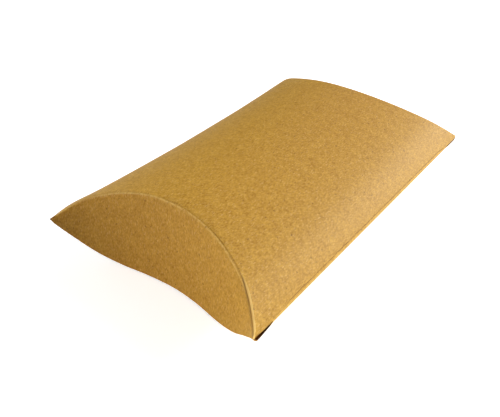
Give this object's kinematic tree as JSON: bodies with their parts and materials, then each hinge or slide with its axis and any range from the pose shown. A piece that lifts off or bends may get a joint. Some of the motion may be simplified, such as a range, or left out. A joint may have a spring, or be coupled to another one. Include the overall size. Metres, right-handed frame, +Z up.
{
  "type": "favor box",
  "caption": "Pillow-shaped favor box of creased kraft card, with an arched top and bottom, curved end creases, overlapping end flaps that fold, and a glued side seam.",
  "frame": {"origin": "on the surface that the box stands on, under the middle of the box", "axes": "+X across the box to the glued seam, +Y along the box from the front end to the rear, +Z up"},
  "size_m": [0.07, 0.112, 0.0254],
  "materials": {
    "kraft_card": "matte, fibrous",
    "dried_glue": "dull"
  },
  "bodies": {
    "card_tube": {"top_panel": "kraft_card", "bottom_panel": "kraft_card", "side_fold": "kraft_card", "seam_fold": "kraft_card", "glue_flap": "kraft_card", "front_top_crease": "kraft_card", "front_bottom_crease": "kraft_card", "rear_top_crease": "kraft_card", "rear_bottom_crease": "kraft_card", "glue_line": "dried_glue"},
    "front_outer_flap": {"front_outer_flap": "kraft_card"},
    "front_inner_flap": {"front_inner_flap": "kraft_card"},
    "rear_outer_flap": {"rear_outer_flap": "kraft_card"},
    "rear_inner_flap": {"rear_inner_flap": "kraft_card"}
  },
  "joints": [
    {"name": "front_outer_flap_fold", "type": "hinge", "parent": "card_tube", "child": "front_outer_flap", "pos_m": [0, -0.0422, 0.0254], "axis": [-1, 0, 0], "range_deg": [0, 90]},
    {"name": "front_inner_flap_fold", "type": "hinge", "parent": "card_tube", "child": "front_inner_flap", "pos_m": [0, -0.04175, 0.00089], "axis": [-1, 0, 0], "range_deg": [0, 75]},
    {"name": "rear_outer_flap_fold", "type": "hinge", "parent": "card_tube", "child": "rear_outer_flap", "pos_m": [0, 0.0422, 0.0254], "axis": [1, 0, 0], "range_deg": [0, 90]},
    {"name": "rear_inner_flap_fold", "type": "hinge", "parent": "card_tube", "child": "rear_inner_flap", "pos_m": [0, 0.04175, 0.00089], "axis": [1, 0, 0], "range_deg": [0, 75]}
  ]
}
